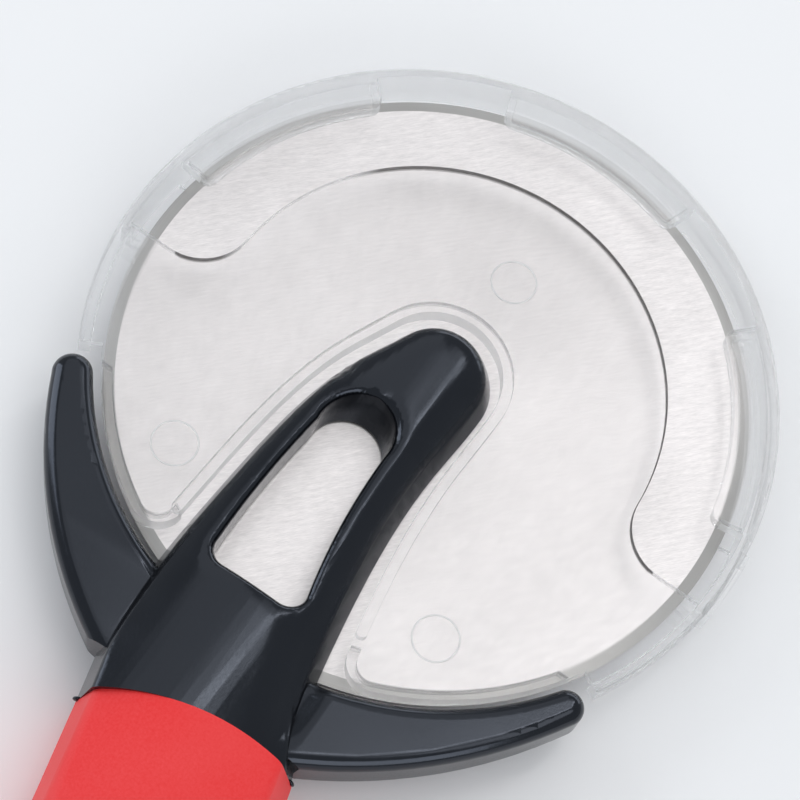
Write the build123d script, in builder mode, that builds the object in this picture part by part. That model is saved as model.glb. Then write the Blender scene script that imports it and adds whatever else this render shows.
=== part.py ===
"""Pizza cutter wheel with a clear clip-on blade guard, in millimetres.

The tool lies on its back. +Z is the blade's axis and points up to the front, -Y runs to the handle.
The origin is on the blade's axis, on the flat back that the tool rests on.
"""

from build123d import *
from math import asin, cos, degrees, radians, sin, tan
import os

os.makedirs("parts", exist_ok=True)

# Heights, from the flat back up to the middle of the blade
back_depth = 9.0
front_height = 8.6
front_rise = 1.6

# Blade
blade_radius = 50.0
blade_thickness = 1.0
bevel_width = 1.8
edge_land = 0.2
blade_hole_radius = 3.6

# Hub, axle and washers
axle_radius = 2.0
axle_half_length = 6.0
running_gap = 0.06
hub_flange_radius = 5.6
hub_flange_thickness = 0.9
washer_radius = 4.6
washer_thickness = 0.4
face_gap = 0.05
seat_gap = 0.1
edge_break = 0.25

# Yoke outline, seen from the front
nose_radius = 9.4
nose_start_angle = 0
nose_end_angle = 157
neck_margin = 3.3
seam_offset = 1.6
seam_half_width = 16.5
seam_bow = 3.0
handle_heading = 13.6
left_side_shares = ((-0.764, 0.080), (-0.952, 0.291), (-1.030, 0.519), (-1.061, 0.743), (-1.006, 0.921))
right_side_shares = ((0.527, 0.178), (0.552, 0.400), (0.660, 0.594), (0.800, 0.773), (0.945, 0.880))
seam_overrun = 9.0

# Yoke surfaces
side_draft = 14
crown_radius = 36.0
crown_offset = 2.0
outline_rounding = 1.6
back_rounding = 1.6
slot_half_gap = 1.1
slot_clearance = 0.3
nose_pocket_radius = 6.5
nose_pocket_depth = 6.2
boss_radius = 4.2

# Window through both arms of the yoke
window_top = 8.0
window_length_share = 0.539
window_width = 15.6
window_centre = -3.4
window_scoop = 4.0
window_corner_radius = 3.0
window_rounding = 0.8
window_left_shares = ((-0.500, 0.950), (-0.505, 0.600), (-0.440, 0.200))
window_right_shares = ((0.300, 0.190), (0.350, 0.560), (0.500, 0.930))
window_crest_share = -0.050

# Finger guard arms
arm_clearance = 1.4
left_arm_widths = (6.2, 9.8, 14.6)
right_arm_widths = (5.4, 8.0, 12.6)
arm_tip_angle = -35.5
arm_middle_angle = -54.2
arm_root_angle = -74.1
arm_inner_root_angle = -82
arm_front_depth = 5.6
arm_back_depth = 3.8
arm_rounding = 2.2
arm_root_depth = 9.0

# Screws
screw_radius = 1.25
screw_pilot_radius = 1.05
screw_head_radius = 2.3
screw_head_height = 1.5
screw_recess_radius = 2.6
screw_recess_depth = 1.9
arm_screw_inset = 5.6
arm_screw_angle = -68.5
arm_screw_reach = 5.2
neck_screw_inset = 8.5
neck_screw_reach = 13.2
screw_pilot_depth = 3.4
neck_pilot_depth = 7.4
socket_width = 1.2
socket_depth = 0.8

# Handle
handle_length = 113.0
handle_end_offset = 15.5
handle_end_heading = -3
handle_middle_share = 0.5
handle_middle_lead = 9.6
grip_wall = 3.0
tang_half_width = 8.0
tang_half_depth = 4.0
tang_length = 15.0
tang_gap = 0.15
grip_end_share = 0.885
grip_station_shares = (0.0, 0.22, 0.48, 0.74, 0.885)
grip_width_shares = (1.000, 0.960, 0.895, 0.955, 0.940)
grip_front_heights = (10.2, 11.3, 12.0, 11.9, 10.6)
grip_edge_radii = (1.8, 4.0, 5.0, 5.0, 4.5)
grip_side_radii = (1.5, 6.0, 9.0, 9.0, 8.0)
core_gap = 0.1
cap_station_shares = (0.885, 0.930, 0.970, 1.0)
cap_width_shares = (0.940, 0.900, 0.790, 0.600)
cap_front_heights = (10.6, 9.6, 8.4, 7.2)
cap_edge_radii = (4.5, 4.2, 3.6, 3.0)
cap_side_radii = (8.0, 7.0, 5.0, 3.0)
cap_rounding = 2.0
cap_plug_length = 3.0
plug_half_width = 6.0
plug_half_depth = 3.0
hang_hole_radius = 3.5
hang_hole_share = 0.955

# Blade guard
guard_clearance = 2.2
guard_wall = 1.8
guard_half_depth = 4.7
guard_skin = 1.4
guard_rounding = 1.2
guard_end_share = 0.120
guard_tip_share = 0.504
skirt_gap = 0.9
skirt_wall = 1.6
skirt_set_back = 0.15
skirt_inset = 3.7
skirt_depth = 6.3
lip_reach = 7.4
lip_span = 39
lip_spacing = 63
lip_corner_radius = 1.8
bead_width = 1.2
bead_height = 0.9
plate_share = 0.670
plate_fillet_radius = 8.5
plate_corner_radius = 4.5
notch_gap = 0.9
notch_flare = 1.6
rib_width = 1.7
rib_height = 1.6
rib_end_share = 0.760
rib_end_radius = 0.8
pad_proud = 0.7
pad_rise = 5.0
pad_half_height = 3.0
mark_radius = 3.5
mark_depth = 0.12
mark_shares = ((0.0, 0.41), (-0.45, -0.60), (0.45, -0.60))
overrun = 2.0

# Sizes that follow the blade
mid_plane = Plane.XY.offset(back_depth)
arm_inner_radius = blade_radius + arm_clearance
arm_screw_radius = arm_inner_radius + arm_screw_inset
neck_reach = arm_inner_radius + right_arm_widths[-1] + neck_margin
window_length = window_length_share * neck_reach
rim_inner = blade_radius + guard_clearance
guard_radius = rim_inner + guard_wall
guard_end_drop = guard_end_share * guard_radius
guard_tip_drop = guard_tip_share * guard_radius
rib_end_drop = rib_end_share * guard_radius
plate_radius = plate_share * guard_radius
skirt_radius = guard_radius - skirt_inset
lip_inner_radius = guard_radius - lip_reach


def polar(radius, angle):
    """A point at a distance and an angle from the blade's axis."""
    return (radius * cos(radians(angle)), radius * sin(radians(angle)))


def along(point, distance, heading):
    """A point moved down the handle by a distance, with the heading turned from -Y to +X."""
    return (point[0] + distance * sin(radians(heading)), point[1] - distance * cos(radians(heading)))


def across(point, distance, heading):
    """A point moved to the right of the handle's heading."""
    return (point[0] + distance * cos(radians(heading)), point[1] + distance * sin(radians(heading)))


# Places along the handle
seam_centre = (seam_offset, -neck_reach)
seam_left = across(seam_centre, -seam_half_width, handle_heading)
seam_right = across(seam_centre, seam_half_width, handle_heading)
handle_middle = (
    seam_offset + handle_middle_lead,
    -neck_reach - handle_middle_share * handle_length,
)
handle_end = (seam_offset + handle_end_offset, -neck_reach - handle_length)
neck_screw = along(seam_centre, -neck_screw_inset, handle_heading)


def yoke_outline(inset, flare=0):
    """The yoke's outline, drawn inwards by an inset, as lines for the builder that is open."""
    start = polar(nose_radius - inset, nose_start_angle)
    crest = polar(nose_radius - inset, (nose_start_angle + nose_end_angle) / 2)
    finish = polar(nose_radius - inset, nose_end_angle)
    left = [(x * seam_half_width + inset, -y * neck_reach) for x, y in left_side_shares]
    right = [(x * seam_half_width - inset + flare * y, -y * neck_reach) for x, y in right_side_shares]
    left_seam = across(seam_left, inset, handle_heading)
    right_seam = across(seam_right, flare - inset, handle_heading)
    heading = (sin(radians(handle_heading)), -cos(radians(handle_heading)))
    left_start = (-sin(radians(nose_end_angle)), cos(radians(nose_end_angle)))
    ThreePointArc(start, crest, finish)
    Spline(finish, *left, left_seam, tangents=(left_start, heading))
    Spline(start, *right, right_seam, tangents=((0, -1), heading))
    left_foot = along(left_seam, seam_overrun, handle_heading)
    right_foot = along(right_seam, seam_overrun, handle_heading)
    Line(left_seam, left_foot)
    Line(left_foot, right_foot)
    Line(right_foot, right_seam)


def window_side(shares, scoop):
    """Points down one side of the window, the upper ones drawn down by a scoop."""
    return [
        (window_centre + x * window_width, -window_top - scoop * (1 - y) - y * window_length)
        for x, y in shares
    ]


def window_outline(scoop):
    """The window's outline, its upper end drawn down by a scoop, as lines for the open builder."""
    left = window_side(window_left_shares, scoop)
    right = window_side(window_right_shares, scoop)
    crest = (window_centre + window_crest_share * window_width, -window_top - scoop)
    foot = -window_top - window_length
    radius = window_corner_radius
    left_corner = (left[0][0], foot + radius)
    right_corner = (right[-1][0], foot + radius)
    left_foot = (left_corner[0] + radius, foot)
    right_foot = (right_corner[0] - radius, foot)
    ThreePointArc(left[-1], crest, right[0])
    Spline(*right[:-1], right_corner)
    RadiusArc(right_corner, right_foot, radius)
    Line(right_foot, left_foot)
    RadiusArc(left_foot, left_corner, radius)
    Spline(left_corner, *left[1:])


def seam_face():
    """Everything on the handle's side of the bowed seam."""
    crest = along(seam_centre, -seam_bow, handle_heading)
    wide = seam_half_width + seam_overrun
    with BuildSketch() as face:
        with BuildLine():
            edge = ThreePointArc(seam_left, crest, seam_right)
            left_wing = along(across(seam_centre, -wide, handle_heading), seam_bow, handle_heading)
            right_wing = along(across(seam_centre, wide, handle_heading), seam_bow, handle_heading)
            Line(edge @ 0, left_wing)
            Line(edge @ 1, right_wing)
            left_end = along(left_wing, handle_length, handle_heading)
            right_end = along(right_wing, handle_length, handle_heading)
            Line(left_wing, left_end)
            Line(left_end, right_end)
            Line(right_end, right_wing)
        make_face()
    return face.sketch


def arm_outline(side, widths):
    """One finger guard arm's outline, for -1 or 1 as its side, as lines for the builder that is open."""
    tip_width, middle_width, root_width = widths
    outer_root = polar(arm_inner_radius + root_width, arm_root_angle)
    corners = (
        polar(arm_inner_radius, arm_tip_angle),
        across(polar(arm_inner_radius + tip_width / 2, arm_tip_angle), tip_width / 2, 90 + arm_tip_angle),
        polar(arm_inner_radius + tip_width, arm_tip_angle),
        polar(arm_inner_radius + middle_width, arm_middle_angle),
        outer_root,
        (outer_root[0] - arm_root_depth, outer_root[1]),
        polar(arm_inner_radius, arm_inner_root_angle),
        polar(arm_inner_radius, arm_middle_angle),
    )
    places = [(side * x, y) for x, y in corners]
    ThreePointArc(*places[:3])
    ThreePointArc(*places[2:5])
    Line(*places[4:6])
    Line(*places[5:7])
    ThreePointArc(places[6], places[7], places[0])


def arm_face():
    """Both finger guard arms, as seen from the front."""
    with BuildSketch() as face:
        with BuildLine():
            arm_outline(-1, left_arm_widths)
        make_face()
        with BuildLine():
            arm_outline(1, right_arm_widths)
        make_face()
    return face.sketch


def beside_the_neck(edge):
    """True for an edge that belongs to an arm and not to its root."""
    return abs(edge.center().X) > seam_half_width + right_arm_widths[0] / 2


def sector(inner, outer, start, size):
    """A piece of a ring about the blade's axis."""
    with BuildSketch() as face:
        with BuildLine():
            far = CenterArc((0, 0), outer, start, size)
            near = CenterArc((0, 0), inner, start, size)
            Line(far @ 0, near @ 0)
            Line(far @ 1, near @ 1)
        make_face()
    return face.sketch


arm_screw_right = polar(arm_screw_radius, arm_screw_angle)
arm_screw_left = polar(arm_screw_radius, 180 - arm_screw_angle)
arm_screws = (arm_screw_right, arm_screw_left)
top_height = front_height + front_rise
shell_height = top_height + overrun
front_inset = shell_height * tan(radians(side_draft))
back_inset = back_depth * tan(radians(side_draft))
front_tilt = Plane(
    origin=(-crown_offset, 0, back_depth + front_height),
    x_dir=(1, 0, 0),
    z_dir=(0, -neck_reach, front_rise),
)
tang_plane = Plane(
    origin=(seam_centre[0], seam_centre[1], back_depth),
    x_dir=(cos(radians(handle_heading)), sin(radians(handle_heading)), 0),
    z_dir=(sin(radians(handle_heading)), -cos(radians(handle_heading)), 0),
)

# Blade: a steel disc, bevelled on both faces to its edge
with BuildPart() as blade:
    with BuildSketch(Plane.XZ):
        with BuildLine():
            Polyline(
                (blade_hole_radius, back_depth - blade_thickness / 2),
                (blade_radius - bevel_width, back_depth - blade_thickness / 2),
                (blade_radius, back_depth - edge_land / 2),
                (blade_radius, back_depth + edge_land / 2),
                (blade_radius - bevel_width, back_depth + blade_thickness / 2),
                (blade_hole_radius, back_depth + blade_thickness / 2),
                close=True,
            )
        make_face()
    revolve(axis=Axis.Z)
blade.part.label = "blade"
export_step(blade.part, "parts/blade.step")

# Hub: a flanged bush through the blade, and the collar pressed on it behind the blade
bore_radius = axle_radius + running_gap
hub_top = blade_thickness / 2 + hub_flange_thickness
with BuildPart() as hub_bush:
    with BuildSketch(mid_plane.offset(-hub_top)):
        Circle(blade_hole_radius)
        Circle(bore_radius, mode=Mode.SUBTRACT)
    extrude(amount=2 * hub_top)
    with BuildSketch(mid_plane.offset(blade_thickness / 2)):
        Circle(hub_flange_radius)
        Circle(bore_radius, mode=Mode.SUBTRACT)
    extrude(amount=hub_flange_thickness)
    chamfer(hub_bush.edges().group_by(Axis.Z)[-1].sort_by(SortBy.RADIUS)[-1], edge_break)
hub_bush.part.label = "hub_bush"
export_step(hub_bush.part, "parts/hub_bush.step")

with BuildPart() as hub_collar:
    with BuildSketch(mid_plane.offset(-hub_top)):
        Circle(hub_flange_radius)
        Circle(blade_hole_radius, mode=Mode.SUBTRACT)
    extrude(amount=hub_flange_thickness)
    chamfer(hub_collar.edges().group_by(Axis.Z)[0].sort_by(SortBy.RADIUS)[-1], edge_break)
hub_collar.part.label = "hub_collar"
export_step(hub_collar.part, "parts/hub_collar.step")

# Axle: a plain steel pin held at both ends in the bosses of the yoke
with BuildPart() as axle_pin:
    with BuildSketch(mid_plane.offset(-axle_half_length)):
        Circle(axle_radius)
    extrude(amount=2 * axle_half_length)
    chamfer(axle_pin.edges().filter_by(GeomType.CIRCLE), edge_break)
axle_pin.part.label = "axle_pin"
export_step(axle_pin.part, "parts/axle_pin.step")

# Washers: one between each end of the hub and the yoke's boss
washer_floor = hub_top + face_gap
with BuildPart() as front_washer:
    with BuildSketch(mid_plane.offset(washer_floor)):
        Circle(washer_radius)
        Circle(bore_radius, mode=Mode.SUBTRACT)
    extrude(amount=washer_thickness)
front_washer.part.label = "front_washer"
export_step(front_washer.part, "parts/front_washer.step")

with BuildPart() as back_washer:
    with BuildSketch(mid_plane.offset(-washer_floor - washer_thickness)):
        Circle(washer_radius)
        Circle(bore_radius, mode=Mode.SUBTRACT)
    extrude(amount=washer_thickness)
back_washer.part.label = "back_washer"
export_step(back_washer.part, "parts/back_washer.step")

# Front shell of the yoke: a drafted outline under a crowned face, with half of the finger guard
boss_foot = washer_floor + washer_thickness + face_gap
with BuildPart() as yoke_front_shell:
    with BuildSketch(mid_plane):
        with BuildLine():
            yoke_outline(0)
        make_face()
    with BuildSketch(mid_plane.offset(shell_height)):
        with BuildLine():
            yoke_outline(front_inset)
        make_face()
    loft(ruled=True)
    with BuildSketch(front_tilt.offset(-2 * crown_radius)):
        with Locations((0, -crown_radius)):
            Circle(crown_radius)
    extrude(amount=2 * crown_radius + neck_reach + 2 * seam_overrun, mode=Mode.INTERSECT)
    crown = yoke_front_shell.faces().filter_by(GeomType.CYLINDER).sort_by(Axis.Z)[-1]
    fillet(crown.edges(), outline_rounding)
    # The seam that the grip butts against
    with BuildSketch(mid_plane):
        add(seam_face())
    extrude(amount=shell_height, mode=Mode.SUBTRACT)
    # Window through to the blade, its upper end scooped
    with BuildSketch(mid_plane):
        with BuildLine():
            window_outline(window_scoop)
        make_face()
    with BuildSketch(mid_plane.offset(shell_height)):
        with BuildLine():
            window_outline(0)
        make_face()
    loft(ruled=True, mode=Mode.SUBTRACT)
    crown = yoke_front_shell.faces().filter_by(GeomType.CYLINDER).sort_by(Axis.Z)[-1]
    fillet(crown.inner_wires().edges(), window_rounding)
    # Slot for the blade
    with BuildSketch(mid_plane):
        Circle(arm_inner_radius + slot_clearance)
    extrude(amount=slot_half_gap, mode=Mode.SUBTRACT)
    # Finger guard arms
    with BuildSketch(mid_plane):
        add(arm_face())
    extrude(amount=arm_front_depth)
    arm_level = yoke_front_shell.edges().filter_by_position(
        Axis.Z, back_depth + arm_front_depth - edge_break, back_depth + arm_front_depth + edge_break
    )
    fillet(arm_level.filter_by(beside_the_neck), arm_rounding)
    # Pocket round the hub, with the boss that holds the axle
    with BuildSketch(mid_plane):
        Circle(nose_pocket_radius)
        Circle(boss_radius, mode=Mode.SUBTRACT)
    extrude(amount=nose_pocket_depth, mode=Mode.SUBTRACT)
    with BuildSketch(mid_plane):
        Circle(boss_radius)
    extrude(amount=boss_foot, mode=Mode.SUBTRACT)
    with BuildSketch(mid_plane):
        Circle(axle_radius + seat_gap / 2)
    extrude(amount=axle_half_length + seat_gap, mode=Mode.SUBTRACT)
    # Socket for the tang
    with BuildSketch(tang_plane.offset(-tang_length - tang_gap)):
        Rectangle(2 * (tang_half_width + tang_gap), 2 * (tang_half_depth + tang_gap))
    extrude(amount=tang_length + seam_overrun, mode=Mode.SUBTRACT)
    # Pilot holes for the screws
    with BuildSketch(mid_plane):
        with Locations(*arm_screws):
            Circle(screw_pilot_radius)
    extrude(amount=screw_pilot_depth, mode=Mode.SUBTRACT)
    with BuildSketch(mid_plane):
        with Locations(neck_screw):
            Circle(screw_pilot_radius)
    extrude(amount=neck_pilot_depth, mode=Mode.SUBTRACT)
yoke_front_shell.part.label = "yoke_front_shell"
export_step(yoke_front_shell.part, "parts/yoke_front_shell.step")

# Back shell of the yoke: the same outline and arms behind the blade, with a flat back to lie on
with BuildPart() as yoke_back_shell:
    with BuildSketch(mid_plane):
        with BuildLine():
            yoke_outline(0)
        make_face()
    with BuildSketch():
        with BuildLine():
            yoke_outline(back_inset)
        make_face()
    loft(ruled=True)
    fillet(yoke_back_shell.faces().sort_by(Axis.Z)[0].edges(), back_rounding)
    with BuildSketch():
        add(seam_face())
    extrude(amount=back_depth, mode=Mode.SUBTRACT)
    with BuildSketch(mid_plane):
        with BuildLine():
            window_outline(window_scoop)
        make_face()
    with BuildSketch():
        with BuildLine():
            window_outline(0)
        make_face()
    loft(ruled=True, mode=Mode.SUBTRACT)
    fillet(yoke_back_shell.faces().sort_by(Axis.Z)[0].inner_wires().edges(), window_rounding)
    with BuildSketch(mid_plane.offset(-slot_half_gap)):
        Circle(arm_inner_radius + slot_clearance)
    extrude(amount=slot_half_gap, mode=Mode.SUBTRACT)
    with BuildSketch(mid_plane.offset(-arm_back_depth)):
        add(arm_face())
    extrude(amount=arm_back_depth)
    arm_level = yoke_back_shell.edges().filter_by_position(
        Axis.Z, back_depth - arm_back_depth - edge_break, back_depth - arm_back_depth + edge_break
    )
    fillet(arm_level.filter_by(beside_the_neck), arm_rounding)
    with BuildSketch(mid_plane.offset(-nose_pocket_depth)):
        Circle(nose_pocket_radius)
        Circle(boss_radius, mode=Mode.SUBTRACT)
    extrude(amount=nose_pocket_depth, mode=Mode.SUBTRACT)
    with BuildSketch(mid_plane.offset(-boss_foot)):
        Circle(boss_radius)
    extrude(amount=boss_foot, mode=Mode.SUBTRACT)
    with BuildSketch(mid_plane.offset(-axle_half_length - seat_gap)):
        Circle(axle_radius + seat_gap / 2)
    extrude(amount=axle_half_length + seat_gap, mode=Mode.SUBTRACT)
    with BuildSketch(tang_plane.offset(-tang_length - tang_gap)):
        Rectangle(2 * (tang_half_width + tang_gap), 2 * (tang_half_depth + tang_gap))
    extrude(amount=tang_length + seam_overrun, mode=Mode.SUBTRACT)
    # Clearance holes and recesses for the screws
    with BuildSketch():
        with Locations(*arm_screws, neck_screw):
            Circle(screw_radius + seat_gap)
    extrude(amount=back_depth, mode=Mode.SUBTRACT)
    with BuildSketch(mid_plane.offset(-arm_back_depth)):
        with Locations(*arm_screws):
            Circle(screw_recess_radius)
    extrude(amount=screw_recess_depth, mode=Mode.SUBTRACT)
    with BuildSketch():
        with Locations(neck_screw):
            Circle(screw_recess_radius)
    extrude(amount=screw_recess_depth, mode=Mode.SUBTRACT)
yoke_back_shell.part.label = "yoke_back_shell"
export_step(yoke_back_shell.part, "parts/yoke_back_shell.step")

# Screws: three self-tapping screws driven from the back, as one group
arm_screw_seat = back_depth - arm_back_depth + screw_recess_depth
neck_screw_seat = screw_recess_depth
with BuildPart() as shell_screws:
    with BuildSketch(Plane.XY.offset(arm_screw_seat - screw_head_height)):
        with Locations(*arm_screws):
            Circle(screw_head_radius)
    extrude(amount=screw_head_height)
    with BuildSketch(Plane.XY.offset(neck_screw_seat - screw_head_height)):
        with Locations(neck_screw):
            Circle(screw_head_radius)
    extrude(amount=screw_head_height)
    chamfer(shell_screws.edges().filter_by(GeomType.CIRCLE).group_by(Axis.Z)[0], edge_break)
    with BuildSketch(Plane.XY.offset(arm_screw_seat)):
        with Locations(*arm_screws):
            Circle(screw_pilot_radius)
    extrude(amount=arm_screw_reach)
    with BuildSketch(Plane.XY.offset(neck_screw_seat)):
        with Locations(neck_screw):
            Circle(screw_pilot_radius)
    extrude(amount=neck_screw_reach)
    with BuildSketch(Plane.XY.offset(arm_screw_seat - screw_head_height)):
        with Locations(*arm_screws):
            Rectangle(2 * socket_width, socket_width / 2)
            Rectangle(socket_width / 2, 2 * socket_width)
    extrude(amount=socket_depth, mode=Mode.SUBTRACT)
    with BuildSketch(Plane.XY.offset(neck_screw_seat - screw_head_height)):
        with Locations(neck_screw):
            Rectangle(2 * socket_width, socket_width / 2)
            Rectangle(socket_width / 2, 2 * socket_width)
    extrude(amount=socket_depth, mode=Mode.SUBTRACT)
shell_screws.part.label = "shell_screws"
export_step(shell_screws.part, "parts/shell_screws.step")

# Handle: sections square to a path that bends gently back from the seam's heading
start_heading = (sin(radians(handle_heading)), -cos(radians(handle_heading)), 0)
end_heading = (sin(radians(handle_end_heading)), -cos(radians(handle_end_heading)), 0)
handle_path = Spline(
    (*seam_centre, back_depth),
    (*handle_middle, back_depth),
    (*handle_end, back_depth),
    tangents=(start_heading, end_heading),
)


def station(share, lead=0):
    """A plane square to the handle, at a share of its path, moved on by a lead."""
    heading = handle_path % share
    return Plane(
        origin=handle_path @ share + heading * lead,
        x_dir=(-heading.Y, heading.X, 0),
        z_dir=heading,
    )


def section(half_width, front, edge_radius, side_radius, inset):
    """A drafted section of the handle under a crowned front, its corners rounded, shrunk by an inset."""
    middle = half_width - inset
    height = front - inset
    depth = back_depth - inset
    top = middle - height * tan(radians(side_draft))
    foot = middle - depth * tan(radians(side_draft))
    shoulder = height - crown_radius + (crown_radius**2 - top**2) ** 0.5
    scale = middle / half_width
    with BuildSketch() as face:
        with BuildLine():
            ThreePointArc((-top, shoulder), (0, height), (top, shoulder))
            Polyline(
                (top, shoulder),
                (middle, 0),
                (foot, -depth),
                (-foot, -depth),
                (-middle, 0),
                (-top, shoulder),
            )
        make_face()
        fillet(face.vertices().group_by(Axis.Y)[1], side_radius * scale)
        levels = face.vertices().group_by(Axis.Y)
        fillet(levels[0] + levels[-1], edge_radius * scale)
    return face.sketch


def handle_sections(stations, inset, lead):
    """Placed sections for a loft along the handle, the first one moved ahead by a lead."""
    faces = []
    for share, width, front, edge_radius, side_radius in stations:
        plane = station(share, -lead if share == 0 else 0)
        half_width = width * seam_half_width
        faces.append(plane * section(half_width, front, edge_radius, side_radius, inset))
    return faces


grip_stations = list(
    zip(grip_station_shares, grip_width_shares, grip_front_heights, grip_edge_radii, grip_side_radii)
)
cap_stations = list(
    zip(cap_station_shares, cap_width_shares, cap_front_heights, cap_edge_radii, cap_side_radii)
)

# Core of the handle: a stiff bar with a tang that the two shells close on
with BuildPart() as handle_core:
    add(loft(handle_sections(grip_stations, grip_wall, 0)))
    with BuildSketch(tang_plane.offset(-tang_length)):
        Rectangle(2 * tang_half_width, 2 * tang_half_depth)
    extrude(amount=tang_length + grip_wall)
    with BuildSketch(station(grip_end_share, -grip_wall)):
        Rectangle(2 * plug_half_width, 2 * plug_half_depth)
    extrude(amount=cap_plug_length + grip_wall)
    with BuildSketch(Plane.XY):
        with Locations(neck_screw):
            Circle(screw_radius + seat_gap)
    extrude(amount=2 * back_depth, mode=Mode.SUBTRACT)
handle_core.part.label = "handle_core"
export_step(handle_core.part, "parts/handle_core.step")

# Grip: a soft sleeve moulded round the core, flush with the yoke at the bowed seam
with BuildPart() as grip_sleeve:
    add(loft(handle_sections(grip_stations, 0, seam_overrun / 2)))
    with BuildSketch(Plane.XY):
        add(seam_face())
    extrude(amount=4 * back_depth, mode=Mode.INTERSECT)
    add(loft(handle_sections(grip_stations, grip_wall - core_gap, seam_overrun)), mode=Mode.SUBTRACT)
grip_sleeve.part.label = "grip_sleeve"
export_step(grip_sleeve.part, "parts/grip_sleeve.step")

# End cap: closes the handle and holds the hanging hole
with BuildPart() as end_cap:
    add(loft(handle_sections(cap_stations, 0, 0)))
    fillet(end_cap.edges().group_by(Axis.Y)[0], cap_rounding)
    with BuildSketch(station(grip_end_share)):
        Rectangle(2 * (plug_half_width + seat_gap), 2 * (plug_half_depth + seat_gap))
    extrude(amount=cap_plug_length + seat_gap, mode=Mode.SUBTRACT)
    hang_place = handle_path @ hang_hole_share
    with BuildSketch(Plane.XY):
        with Locations((hang_place.X, hang_place.Y)):
            Circle(hang_hole_radius)
    extrude(amount=4 * back_depth, mode=Mode.SUBTRACT)
end_cap.part.label = "end_cap"
export_step(end_cap.part, "parts/end_cap.step")

# Blade guard: one clear moulding with a rim, lips before and behind the blade, and a plate cut out
# for the yoke. Below the rim's ends it stays in front of the blade, so that it pulls straight off.
lip_root = rim_inner + guard_wall / 2
end_angle = degrees(asin(guard_end_drop / guard_radius))
tip_angle = degrees(asin(guard_tip_drop / guard_radius))
pad_angle = degrees(asin(pad_rise / guard_radius))
skin_floor = guard_half_depth - guard_skin


def outer_edge(edges):
    """The largest arc among some edges."""
    return edges.filter_by(GeomType.CIRCLE).sort_by(SortBy.RADIUS)[-1]


def band(face, width):
    """The border of a face, as wide as given."""
    with BuildSketch() as edge:
        add(face)
        offset(amount=-width, mode=Mode.SUBTRACT)
    return edge.sketch


def lip(centre, span):
    """A lip of the guard, its inner corners rounded."""
    face = sector(lip_inner_radius, lip_root, centre - span / 2, span)
    with BuildSketch() as rounded:
        add(face)
        fillet(rounded.vertices().sort_by(lambda corner: corner.center().length)[:2], lip_corner_radius)
    return rounded.sketch


def notch_face(grow):
    """The guard's cut-out for the yoke, grown by a margin."""
    with BuildSketch() as face:
        with BuildLine():
            yoke_outline(-notch_gap - grow, notch_flare)
        make_face()
    return face.sketch


def plate_face():
    """The guard's front plate: a disc and the lower half, less the cut-out for the yoke."""
    with BuildSketch() as face:
        Circle(plate_radius)
        with Locations((0, -guard_end_drop - guard_radius)):
            Rectangle(2 * lip_root, 2 * guard_radius)
        waist = face.vertices().filter_by(lambda corner: abs(corner.X) < lip_root - overrun)
        fillet(waist, plate_fillet_radius)
        Circle(lip_root, mode=Mode.INTERSECT)
        below_the_tips = sector(skirt_radius, 2 * guard_radius, 180 + tip_angle, 180 - 2 * tip_angle)
        add(below_the_tips, mode=Mode.SUBTRACT)
        add(notch_face(0), mode=Mode.SUBTRACT)
        mouth = face.vertices().filter_by(lambda corner: corner.Y < -rib_end_drop)
        fillet(mouth, plate_corner_radius)
    return face.sketch


def skirt_face(inset):
    """The lower half of the plate inside its skirt, drawn inwards by an inset."""
    with BuildSketch() as face:
        with Locations((0, -guard_tip_drop - guard_radius)):
            Rectangle(2 * guard_radius, 2 * guard_radius)
        Circle(skirt_radius - inset, mode=Mode.INTERSECT)
        add(notch_face(inset), mode=Mode.SUBTRACT)
        mouth = face.vertices().filter_by(lambda corner: corner.Y < -rib_end_drop)
        fillet(mouth, plate_corner_radius - inset)
    return face.sketch


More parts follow.
